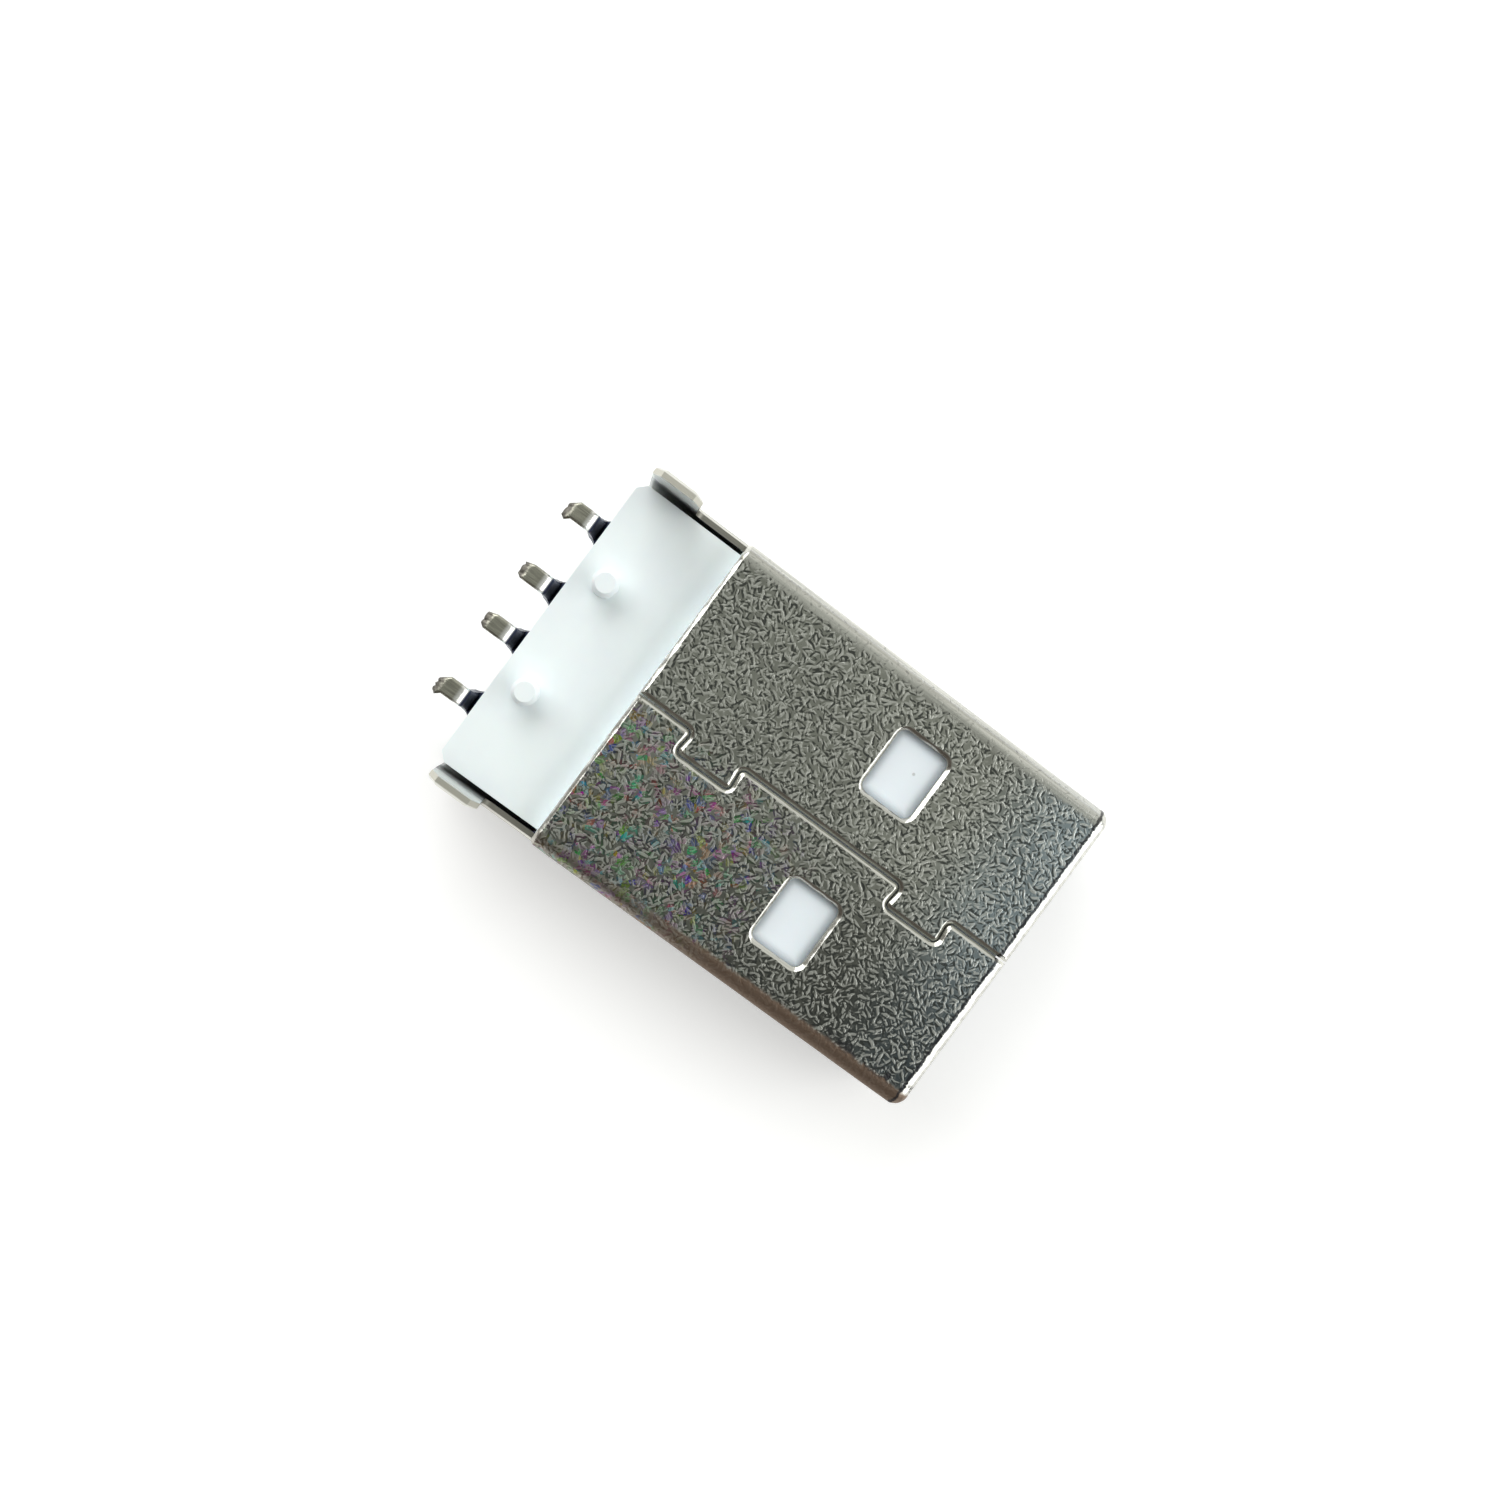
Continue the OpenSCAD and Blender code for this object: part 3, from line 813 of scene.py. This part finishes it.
@dataclass(frozen=True)
class WhiteMoulding:
    """Near-white plastic with a cool cast, a fine satin and a few specks."""

    effects: Effects
    shell: "Shell"
    base: Color = (0.89, 0.965, 0.975)
    shade: Color = (0.83, 0.89, 0.93)
    # painted reflection: the cooler, slightly darker tone of the moulding inside the tube
    inner: Color = (0.84, 0.91, 0.97)
    speck: Color = (0.35, 0.36, 0.34)
    # painted shade near the window edges
    window_shade: Color = (0.3, 0.35, 0.4)

    def _window_shade_mask(self, g: Graph, at: Parts) -> Socket:
        """Mask of painted shade that darkens the moulding towards the edges of the windows over it."""
        across = g.gap(g.math("ABSOLUTE", at["X"]), self.shell.window_pitch / 2)
        along = g.gap(at["Y"], self.shell.window_middle_y)
        halves = ((across, self.shell.window_w / 2), (along, self.shell.window_l / 2))
        near = g.larger(*(g.ramp(value, half - 0.45, half) for value, half in halves))
        front = g.math("LESS_THAN", at["Y"], self.shell.tube_end_y - 1.0)
        return g.times(g.times(g.math("POWER", near, 2.0), front), 0.7)

    def make(self) -> Material:
        """Builds the material."""
        material, g, shader = new_material("white moulding")
        place = place_mm(g)
        cloud = g.group(self.effects.clouds.tree, Place=place, Scale=0.5, Low=0.0, High=0.5).outputs[0]
        dots = g.group(self.effects.specks.tree, Place=place, Density=0.9, Size=0.07, Rarity=0.72).outputs[0]
        at = g.split(place)
        # painted reflection: the moulding inside the tube is tinted bluer and a little darker
        inner = g.ramp(at["Y"], self.shell.tube_end_y, self.shell.tube_end_y - 1.0)
        color = g.mix(cloud, g.mix(inner, self.base, self.inner), self.shade)
        # painted shade: darker towards the window edges
        color = g.mix(self._window_shade_mask(g, at), color, self.window_shade)
        color = g.mix(g.times(dots, 0.55), color, self.speck)
        g.feed(shader.inputs["Base Color"], color)
        grain = g.noise(place, 14.0, detail=3.0)
        g.feed(shader.inputs["Roughness"], g.ramp(grain, 0.3, 0.7, 0.38, 0.5))
        shader.inputs["IOR"].default_value = 1.5
        shader.inputs["Subsurface Weight"].default_value = 0.05
        shader.inputs["Subsurface Scale"].default_value = 0.25 * MM
        g.bump(shader, grain, 0.2)
        return material


@dataclass(frozen=True)
class TinnedStrip:
    """Tin-plated contact strip: drawn lines along it, a painted dark reflection on its steep root, a painted
    highlight on its upper bend and a shorn tip.
    """

    effects: Effects
    tail_end_y: float
    block_end_y: float
    base: Color = (0.40, 0.395, 0.33)
    # painted highlight: the near white of the upper bend
    bend_highlight: Color = (0.85, 0.85, 0.82)
    # painted reflection: the dark navy of the steep root
    root: Color = (0.035, 0.04, 0.075)
    shorn: Color = (0.12, 0.11, 0.10)

    def make(self) -> Material:
        """Builds the material."""
        material, g, shader = new_material("tinned strip")
        place = place_mm(g)
        at = g.split(place)
        drawn = g.noise(g.vector("MULTIPLY", place, (26.0, 1.6, 26.0)), 1.0, detail=2.0)
        patch = g.noise(place, 7.0, detail=3.0, roughness=0.6)
        color = g.tone(self.base, g.ramp(drawn, 0.25, 0.75, 0.75, 1.15))
        past = g.math("SUBTRACT", at["Y"], self.block_end_y)
        steep = g.band(past, (-0.05, 0.02), (0.38, 0.46))
        bend = g.band(past, (0.3, 0.36), (0.6, 0.74))
        # painted highlight: the upper bend is painted near white
        color = g.mix(bend, color, self.bend_highlight)
        # painted reflection: the steep root is painted dark navy
        color = g.mix(steep, color, self.root)
        tip = g.ramp(g.plus(at["Y"], g.times(patch, 0.3)), self.tail_end_y - 0.12, self.tail_end_y + 0.02)
        color = g.mix(g.times(tip, 0.85), color, self.shorn)
        g.feed(shader.inputs["Base Color"], color)
        g.feed(shader.inputs["Roughness"], g.ramp(tip, 0.0, 1.0, 0.27, 0.5))
        shader.inputs["Metallic"].default_value = 1.0
        g.bump(shader, g.plus(drawn, g.times(tip, patch)), 0.3)
        return material


# --- The plug's sub-assemblies ---


@dataclass
class Shell:
    """The folded sheet: tube with keyed seam and windows, rear walls and legs, in millimetres."""

    height: float = 4.5
    tube_l: float = 15.0
    sheet: float = 0.3
    bend_r: float = 0.55
    seam_gap: float = 0.06
    key_reach: float = 0.86
    key_l: float = 2.15
    front_key_y: float = 2.32
    rear_key_y: float = 2.03
    key_undercut: float = 6.0
    key_corner_r: float = 0.2
    window_w: float = 2.46
    window_l: float = 1.98
    window_r: float = 0.3
    window_pitch: float = 6.0
    window_y: float = 5.5
    leg_y: float = 1.95
    leg_tip_l: float = 0.6
    leg_tip_cut: float = 0.3
    leg_root_r: float = 0.25
    rail_z: float = 3.45
    nose_l: float = 0.31
    nose_t: float = 0.15
    low: Vector = field(default_factory=lambda: box_mm("shell")[0])
    high: Vector = field(default_factory=lambda: box_mm("shell")[1])

    def __post_init__(self) -> None:
        """Works out unfolded lengths, on the outer face from the plain wall's middle, and places in the row frame."""
        self.width = self.high.x - self.low.x
        self.flat = self.width / 2 - self.bend_r
        self.bend = self.bend_r * math.pi / 2
        self.side = self.height - 2 * self.bend_r
        self.half = 2 * self.flat + 2 * self.bend + self.side
        self.end_y = self.high.y - self.low.y
        self.bends = (self.flat + self.bend / 2, self.flat + self.bend / 2 + self.bend + self.side)
        self.inner_x = self.width / 2 - self.sheet
        self.mouth_y = self.low.y
        self.tube_end_y = self.mouth_y + self.tube_l
        self.window_middle_y = self.mouth_y + self.window_y + self.window_l / 2

    def rise(self, z: float) -> float:
        """Unfolded distance to a height on the side wall."""
        return self.flat + self.bend + z - self.bend_r

    def fold(self, s: float, y: float) -> tuple[Vector, Vector]:
        """Takes a place in the flat sheet to the outer face and its outward normal."""
        side = math.copysign(1.0, s)
        a = abs(s)
        if a <= self.flat:
            x, z, nx, nz = a, 0.0, 0.0, -1.0
        elif a <= self.flat + self.bend:
            turn = (a - self.flat) / self.bend_r
            nx, nz = math.sin(turn), -math.cos(turn)
            x, z = self.flat + self.bend_r * nx, self.bend_r + self.bend_r * nz
        elif y > self.tube_l + SLACK or a <= self.flat + self.bend + self.side:
            x, z, nx, nz = self.width / 2, self.bend_r + a - self.flat - self.bend, 1.0, 0.0
        elif a <= self.flat + 2 * self.bend + self.side:
            turn = (a - self.flat - self.bend - self.side) / self.bend_r
            nx, nz = math.cos(turn), math.sin(turn)
            x, z = self.flat + self.bend_r * nx, self.height - self.bend_r + self.bend_r * nz
        else:
            x, z, nx, nz = self.half - a, self.height, 0.0, 1.0
        return Vector((side * x, self.low.y + y, z)), Vector((side * nx, 0.0, nz))

    def seam(self) -> list[Point]:
        """Middle line of the seam on the seam face, as x and distance from the mouth."""
        inset = self.key_reach * math.tan(math.radians(self.key_undercut))
        corners: list[Point] = [(0.0, 0.0)]
        for y in (self.front_key_y, self.tube_l - self.rear_key_y - self.key_l):
            corners += [(0.0, y + inset), (-self.key_reach, y)]
            corners += [(-self.key_reach, y + self.key_l), (0.0, y + self.key_l - inset)]
        corners.append((0.0, self.tube_l))
        path = [corners[0]]
        for a, b, c in zip(corners, corners[1:], corners[2:]):
            path += round_corner(a, b, c, self.key_corner_r, 8)
        return [*path, corners[-1]]

    def seam_edge(self, side: int) -> list[Point]:
        """One flap's edge along the seam, half the gap to a side of the middle line."""
        path = self.seam()
        out: list[Point] = []
        for i, p in enumerate(path):
            a = path[max(i - 1, 0)]
            b = path[min(i + 1, len(path) - 1)]
            d = unit((b[0] - a[0], b[1] - a[1]))
            out.append((p[0] + side * d[1] * self.seam_gap / 2, p[1] - side * d[0] * self.seam_gap / 2))
        return out

    def outline(self) -> list[Point]:
        """The blank's outer edge, with the material on its left."""
        right = [(self.half - x, y) for x, y in self.seam_edge(1)]
        left = [(-self.half - x, y) for x, y in self.seam_edge(-1)]
        rail = self.rise(self.rail_z)
        top = self.rise(self.high.z)
        leg0 = self.tube_l + self.leg_y
        corner = (rail + self.leg_root_r, leg0 - self.leg_root_r)
        leg = [
            (rail, self.tube_l),
            *arc(corner, self.leg_root_r, 180, 90, 6),
            (top - self.leg_tip_l, leg0),
            (top, leg0 + self.leg_tip_cut),
            (top, self.end_y - self.leg_tip_cut),
            (top - self.leg_tip_l, self.end_y),
        ]
        return [*right, *leg, *[(-s, y) for s, y in reversed(leg)], *reversed(left)]

    def windows(self) -> list[list[Point]]:
        """The four windows, two on each broad wall, with the material on their left."""
        w, l, r = self.window_w / 2 - self.window_r, self.window_l / 2 - self.window_r, self.window_r
        one = [
            *arc((w, l), r, 90, 0, 6),
            *arc((w, -l), r, 0, -90, 6),
            *arc((-w, -l), r, 270, 180, 6),
            *arc((-w, l), r, 180, 90, 6),
        ]
        middle = self.window_y + self.window_l / 2
        places = [side * self.window_pitch / 2 for side in (-1, 1)]
        places += [side * (self.half - self.window_pitch / 2) for side in (-1, 1)]
        return [[(s + x, middle + y) for x, y in one] for s in places]

    def nose(self, s: float, y: float) -> float:
        """How far the outer face has come in at the mouth's tapered nose."""
        ragged = 0.05 * noise.noise(Vector((s * 3.1, 0.0, 11.0))) + 0.03 * noise.noise(Vector((s * 9.0, 0.0, 5.0)))
        share = max(0.0, 1.0 - y / (self.nose_l + ragged))
        return self.nose_t * share**0.9

    def rows(self) -> list[float]:
        """Lattice places along the blank, closer together at the nose."""
        return [0.16, 0.2, 0.24, 0.28, 0.32, 0.36, 0.4, 0.44, *spaced(0.6, self.end_y, 0.3)]

    def columns(self) -> list[float]:
        """Lattice places across the blank, closer together in the bends."""
        wall = self.flat + self.bend + self.side
        marks = [0, self.flat, self.flat + self.bend, wall, self.flat + 2 * self.bend + self.side]
        fine = self.bend / 12
        places = spread([*marks, self.half + self.key_reach], [0.3, fine, 0.3, fine, 0.3])
        return sorted({*places, *[-m for m in places]})

    def build(self, finish: Material) -> Object:
        """Makes the shell and dresses it."""
        blank = Blank(
            outline=self.outline(),
            holes=self.windows(),
            thickness=self.sheet,
            edge=RolledEdge(width=0.135, depth=0.1, unevenness=0.25),
            fold=self.fold,
            columns=self.columns(),
            rows=self.rows(),
            step=0.09,
            waviness=0.012,
            sag=self.nose,
        )
        piece = blank.build("folded_shell")
        return dress(piece, finish, "shell")


@dataclass
class Contact:
    """One flat contact with its root, two bends and solder tail, in millimetres."""

    node: str
    lean: float = 0.0
    thickness: float = 0.25
    width: float = 1.0
    root_w: float = 1.2
    root_l: float = 2.5
    tail_w: float = 0.64
    bend_r: float = 0.12
    rise: float = 75.0
    flare_l: float = 0.28
    tip_l: float = 0.34
    tip_cut: float = 0.1

    def __post_init__(self) -> None:
        """Takes the contact's place from its CAD node and works out the side view."""
        self.low, self.high = box_mm(self.node)
        self.block_end_y = box_mm("housing")[1].y
        self.middle_x = (self.low.x + self.high.x) / 2
        self.top_z = self.low.z + self.thickness
        turn = math.radians(self.rise)
        outer = self.bend_r + self.thickness
        self.low_bend = (self.block_end_y, self.top_z + self.bend_r)
        drop = self.high.z - outer - self.low_bend[1]
        self.climb = (drop + (self.bend_r + outer) * math.cos(turn)) / math.sin(turn)
        self.lengths = (
            self.block_end_y - self.low.y,
            self.bend_r * turn,
            self.climb,
            outer * turn,
        )
        self.foot_l = self.developed(self.high.y) - sum(self.lengths)

    def fold(self, x: float, v: float) -> tuple[Vector, Vector]:
        """Takes a place in the flat strip to its board-side face and the normal there."""
        turn = math.radians(self.rise)
        outer = self.bend_r + self.thickness
        flat, first, climb, second = self.lengths
        if v <= flat:
            y, z, a = self.low.y + v, self.top_z, 0.0
        elif v <= flat + first:
            a = (v - flat) / self.bend_r
            y = self.low_bend[0] + self.bend_r * math.sin(a)
            z = self.low_bend[1] - self.bend_r * math.cos(a)
        else:
            a = turn
            run = min(v - flat - first, climb)
            y = self.low_bend[0] + self.bend_r * math.sin(a) + run * math.cos(a)
            z = self.low_bend[1] - self.bend_r * math.cos(a) + run * math.sin(a)
            if v > flat + first + climb:
                centre_y = y + outer * math.sin(turn)
                centre_z = z - outer * math.cos(turn)
                a = max(0.0, turn - (v - flat - first - climb) / outer)
                y, z = centre_y - outer * math.sin(a), centre_z + outer * math.cos(a)
            y += max(0.0, v - flat - first - climb - second)
        return Vector((self.middle_x + x, y, z)), Vector((0.0, -math.sin(a), math.cos(a)))

    def developed(self, y: float) -> float:
        """Length along the strip at which it reaches a distance y."""
        low, high = 0.0, sum(self.lengths) + 3.0
        for _ in range(40):
            middle = (low + high) / 2
            low, high = (middle, high) if self.fold(0.0, middle)[0].y < y else (low, middle)
        return low

    def half_outline(self) -> list[Point]:
        """Half widths and lengths from the front end to the start of the tip."""
        front = self.low.y
        root_y = self.block_end_y - self.root_l
        reach = (self.root_w - self.tail_w) / 2
        side: list[Point] = [
            (self.width / 2 - self.thickness, front),
            (self.width / 2, front + self.thickness),
            (self.width / 2, root_y),
            (self.root_w / 2, root_y + (self.root_w - self.width) / 2),
        ]
        for i in range(9):
            a = math.radians(90 * i / 8)
            y = self.block_end_y + self.flare_l * (1 - math.cos(a))
            side.append((self.tail_w / 2 + reach * (1 - math.sin(a)), y))
        return [(x, self.developed(y)) for x, y in side]

    def outline(self) -> list[Point]:
        """The strip's outer edge, with the material on its left."""
        half = self.half_outline()
        end = self.developed(self.high.y)
        w = self.tail_w / 2
        shear = [
            (w - self.lean - self.tip_cut - i * (self.tail_w - 2 * self.tip_cut) / 6, end - self.torn(i, end))
            for i in range(7)
        ]
        tip = [(w, end - self.tip_l), *shear, (-w - self.lean, end - self.tip_l / 2), (-w, end - self.tip_l)]
        return [*half, *tip, *[(-x, v) for x, v in reversed(half)]]

    def torn(self, i: int, end: float) -> float:
        """How far the shorn tip falls short at one of its points."""
        return 0.1 * abs(noise.noise(Vector((self.middle_x * 3.7 + i * 0.9, end, 2.0))))

    def crumple(self, x: float, v: float) -> float:
        """How far the board-side face has come in near the shorn tip."""
        near = max(0.0, 1.0 - (sum(self.lengths) + self.foot_l - v) / 0.3)
        lump = noise.noise(Vector(((self.middle_x + x) * 9.0, v * 9.0, 4.0)))
        return 0.16 * min(1.0, near) ** 1.2 * (0.55 + 0.9 * max(0.0, lump)) if near > 0 else 0.0

    def build(self, finish: Material) -> Object:
        """Makes the contact and dresses it."""
        flat, first, climb, second = self.lengths
        marks = [0, flat, flat + first, flat + first + climb, sum(self.lengths), sum(self.lengths) + self.foot_l]
        blank = Blank(
            outline=self.outline(),
            holes=[],
            thickness=self.thickness,
            edge=RolledEdge(width=0.07, depth=0.05, unevenness=0.3, steps=(0.0, 0.25, 0.55, 0.85, 1.15)),
            fold=self.fold,
            columns=spaced(-self.root_w / 2, self.root_w / 2, 0.07),
            rows=spread(marks, [0.35, first / 8, 0.09, second / 14, 0.06]),
            step=0.05,
            sag=self.crumple,
        )
        piece = blank.build(f"{self.node}_strip")
        return dress(piece, finish, self.node)


@dataclass
class Moulding:
    """The white housing: the CAD node itself, with its edges broken."""

    node: str = "housing"
    edge: float = 0.05

    def build(self, finish: Material) -> Object:
        """Breaks the moulding's edges and dresses it."""
        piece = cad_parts[self.node]
        flatten = piece.modifiers.new("faces", "DECIMATE")
        flatten.decimate_type = "DISSOLVE"
        flatten.angle_limit = math.radians(0.6)
        bevel = piece.modifiers.new("broken edges", "BEVEL")
        bevel.width = self.edge * MM
        bevel.segments = 3
        bevel.limit_method = "ANGLE"
        bevel.angle_limit = math.radians(25)
        bevel.harden_normals = True
        repaint(piece, finish)
        return piece


def repaint(piece: Object, finish: Material) -> None:
    """Puts one material on every slot of a piece."""
    if not piece.material_slots:
        piece.data.materials.append(finish)
    for slot in piece.material_slots:
        slot.material = finish


def dress(piece: Object, finish: Material, node: str) -> Object:
    """Paints a new piece, hangs it under the root body and hides the CAD node that it stands for.

    Args:
        piece: The new piece.
        finish: Its material.
        node: The CAD node that it replaces.

    Returns:
        The piece.
    """
    repaint(piece, finish)
    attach(piece, "root")
    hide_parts(node)
    return piece


# --- Studio ---


@dataclass(frozen=True)
class Lamp:
    """A soft rectangular lamp that looks at the plug. Places are in metres."""

    name: str
    place: tuple[float, float, float]
    size: tuple[float, float]
    radiance: float

    def hang(self) -> Object:
        """Adds the lamp to the scene."""
        data = bpy.data.lights.new(self.name, "AREA")
        data.shape = "RECTANGLE"
        data.size, data.size_y = self.size
        data.energy = self.radiance * math.pi * self.size[0] * self.size[1]
        lamp = into_scene(self.name, data)
        lamp.location = self.place
        lamp.rotation_mode = "QUATERNION"
        lamp.rotation_quaternion = (-Vector(self.place)).to_track_quat("-Z", "Y")
        lamp.visible_camera = False
        return lamp


@dataclass(frozen=True)
class Studio:
    """White floor, a grey ceiling that the plate mirrors, a dim and a pale side, and two big soft lamps."""

    ceiling: Color = (0.40, 0.41, 0.385)
    dim_side: Color = (0.12, 0.105, 0.09)
    pale_side: Color = (0.86, 0.86, 0.82)
    horizon: Color = (0.85, 0.87, 0.9)
    floor_tone: float = 0.85
    floor_side: float = 2.0
    lamps: tuple[Lamp, ...] = (
        Lamp("front softbox", (0.03, -0.13, 0.09), (0.18, 0.13), 1.9),
        Lamp("rear softbox", (0.07, 0.115, 0.095), (0.18, 0.13), 2.6),
    )

    def build(self) -> None:
        """Sets up the world, the floor and the lamps."""
        scene = bpy.context.scene
        scene.view_settings.view_transform = "Standard"
        world = bpy.data.worlds.new("studio")
        scene.world = world
        world.use_nodes = True
        self._sky(Graph(world.node_tree))
        self._floor()
        for lamp in self.lamps:
            lamp.hang()

    def _sky(self, g: Graph) -> None:
        """Surround by direction, and plain white for what looks straight at it."""
        way = g.split(g.add("ShaderNodeTexCoord").outputs["Generated"])
        sides = g.mix(g.ramp(way["X"], -0.45, 0.6), self.dim_side, self.pale_side)
        lean = g.ramp(way["X"], -0.4, 0.4, 0.7, 1.3)
        top = g.tone(self.ceiling, lean)
        color = g.mix(g.ramp(way["Z"], 0.55, 0.88), sides, top)
        color = g.mix(g.ramp(way["Z"], 0.22, 0.04), color, self.horizon)
        seen = g.add("ShaderNodeLightPath").outputs["Is Camera Ray"]
        background = g.add("ShaderNodeBackground")
        g.feed(background.inputs["Color"], g.mix(seen, color, (1.0, 1.0, 1.0)))
        background.inputs["Strength"].default_value = 1.0
        output = g.add("ShaderNodeOutputWorld")
        g.tree.links.new(background.outputs[0], output.inputs["Surface"])

    def _floor(self) -> None:
        """A white floor under the plug, which keeps its shadow."""
        mesh = bmesh.new()
        bmesh.ops.create_grid(mesh, x_segments=1, y_segments=1, size=self.floor_side / 2)
        data = bpy.data.meshes.new("floor")
        mesh.to_mesh(data)
        mesh.free()
        floor = into_scene("floor", data)
        floor.location.z = CAD_BOX[0].z - FLOOR_GAP * MM
        material = bpy.data.materials.new("floor")
        material.use_nodes = True
        g = Graph(material.node_tree)
        diffuse = g.add("ShaderNodeBsdfDiffuse")
        diffuse.inputs["Color"].default_value = rgba((self.floor_tone,) * 3)
        glow = g.add("ShaderNodeEmission")
        path = g.add("ShaderNodeLightPath")
        seen = g.larger(path.outputs["Is Camera Ray"], path.outputs["Is Glossy Ray"])
        seen = g.larger(seen, path.outputs["Is Transmission Ray"])
        spot = g.add("ShaderNodeTexCoord").outputs["Object"]
        away = g.ramp(g.vector("LENGTH", spot), 0.05, 0.3, 0.35, 0.8)
        g.feed(glow.inputs["Strength"], g.times(seen, away))
        both = g.add("ShaderNodeAddShader")
        output = g.add("ShaderNodeOutputMaterial")
        g.tree.links.new(diffuse.outputs[0], both.inputs[0])
        g.tree.links.new(glow.outputs[0], both.inputs[1])
        g.tree.links.new(both.outputs[0], output.inputs["Surface"])
        floor.data.materials.append(material)


@dataclass(frozen=True)
class Viewpoint:
    """The camera, in metres: it looks down on the seam face from a little behind its middle."""

    eye: tuple[float, float, float] = (-0.00003, 0.00625, 0.05637)
    aim: tuple[float, float, float] = (0.00063, 0.00084, 0.0045)
    up: tuple[float, float, float] = (0.8037, 0.5928, -0.0515)
    lens: float = 38.89
    sensor: float = 36.0

    def build(self) -> Object:
        """Adds the camera and makes it the scene's own."""
        data = bpy.data.cameras.new("camera")
        data.sensor_width = self.sensor
        data.lens = self.lens
        data.clip_start, data.clip_end = 0.001, 10.0
        camera = into_scene("camera", data)
        back = (Vector(self.eye) - Vector(self.aim)).normalized()
        right = Vector(self.up).cross(back).normalized()
        top = back.cross(right)
        turn = Matrix((right, top, back)).transposed().to_4x4()
        camera.matrix_world = Matrix.Translation(self.eye) @ turn
        bpy.context.scene.camera = camera
        return camera


# --- The plug ---


def main() -> None:
    """Builds the camera, the studio and every piece of the plug."""
    logging.basicConfig(level=logging.INFO, format="%(name)s: %(message)s")
    Viewpoint().build()
    Studio().build()
    effects = Effects()
    shell = Shell()
    contacts = [
        Contact("power_contact", lean=0.14),
        Contact("data_minus_contact"),
        Contact("data_plus_contact"),
        Contact("ground_contact", lean=0.14),
    ]
    tin = TinnedStrip(effects, tail_end_y=contacts[0].high.y, block_end_y=contacts[0].block_end_y)
    tin_finish = tin.make()
    plate, plastic = PlatedSheet(effects, shell).make(), WhiteMoulding(effects, shell).make()
    pieces = [shell.build(plate), Moulding().build(plastic)]
    pieces += [contact.build(tin_finish) for contact in contacts]
    for piece in pieces:
        LOG.info("%s: %d vertices", piece.name, len(piece.data.vertices))


if __name__ == "__main__":
    main()
